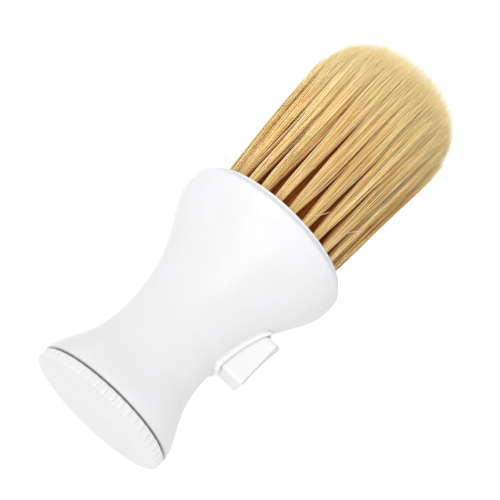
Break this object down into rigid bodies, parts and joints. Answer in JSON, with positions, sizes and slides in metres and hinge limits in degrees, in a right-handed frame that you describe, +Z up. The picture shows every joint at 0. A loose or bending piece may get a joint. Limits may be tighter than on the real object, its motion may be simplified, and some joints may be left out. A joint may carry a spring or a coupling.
{
  "type": "neck duster brush",
  "caption": "Barber's neck duster with domed bristle head, waisted hollow handle holding powder, knurled screw cap in the foot and side push button that opens a powder valve.",
  "frame": {"origin": "middle of the screw cap's flat end face, which the brush stands on", "axes": "+Z up the handle's axis to the bristle tips, +X towards the push button"},
  "size_m": [0.0678, 0.0678, 0.1748],
  "materials": {
    "handle_plastic": "satin moulded white",
    "cap_plastic": "satin moulded white, knurled edge",
    "button_plastic": "satin moulded white",
    "plate_plastic": "moulded white, slightly cooler than the handle",
    "inner_plastic": "plain natural white",
    "seal_rubber": "soft grey",
    "plug_rubber": "soft light grey",
    "bristle": "straw-blond fibre with paler tips",
    "staple_brass": "flat cut wire",
    "steel": "bright drawn wire"
  },
  "bodies": {
    "handle": {"handle_shell": "handle_plastic", "tuft_plate": "plate_plastic", "outlet_nozzle": "plate_plastic", "rod_guide": "inner_plastic", "outer_tufts": "bristle", "second_tufts": "bristle", "third_tufts": "bristle", "core_tufts": "bristle", "outer_staples": "staple_brass", "second_staples": "staple_brass", "third_staples": "staple_brass", "core_staples": "staple_brass"},
    "button": {"push_button": "button_plastic", "cam_slider": "inner_plastic"},
    "valve": {"valve_rod": "inner_plastic", "follower_pin": "steel", "valve_plug": "plug_rubber", "plug_clip": "steel", "spring_collar": "inner_plastic", "valve_spring": "steel"},
    "seal": {"cap_seal": "seal_rubber"},
    "cap": {"base_cap": "cap_plastic"}
  },
  "joints": [
    {"name": "button_press", "type": "slide", "parent": "handle", "child": "button", "axis": [-1, 0, 0], "range_m": [0, 0.005], "stiffness_N_per_m": 400, "springref_m": -0.002},
    {"name": "valve_lift", "type": "slide", "parent": "handle", "child": "valve", "axis": [0, 0, -1], "range_m": [0, 0.003], "deforming": ["valve_spring"]},
    {"name": "cap_travel", "type": "slide", "parent": "handle", "child": "seal", "axis": [0, 0, -1], "range_m": [0, 0.0128]},
    {"name": "cap_turn", "type": "hinge", "parent": "seal", "child": "cap", "pos_m": [0, 0, 0], "axis": [0, 0, -1], "range_deg": [0, 1441]}
  ],
  "couplings": [
    {"joint": "valve_lift", "follows": "button_press", "ratio": 0.6},
    {"joint": "cap_turn", "follows": "cap_travel", "rad_per_m": 1963.5}
  ]
}
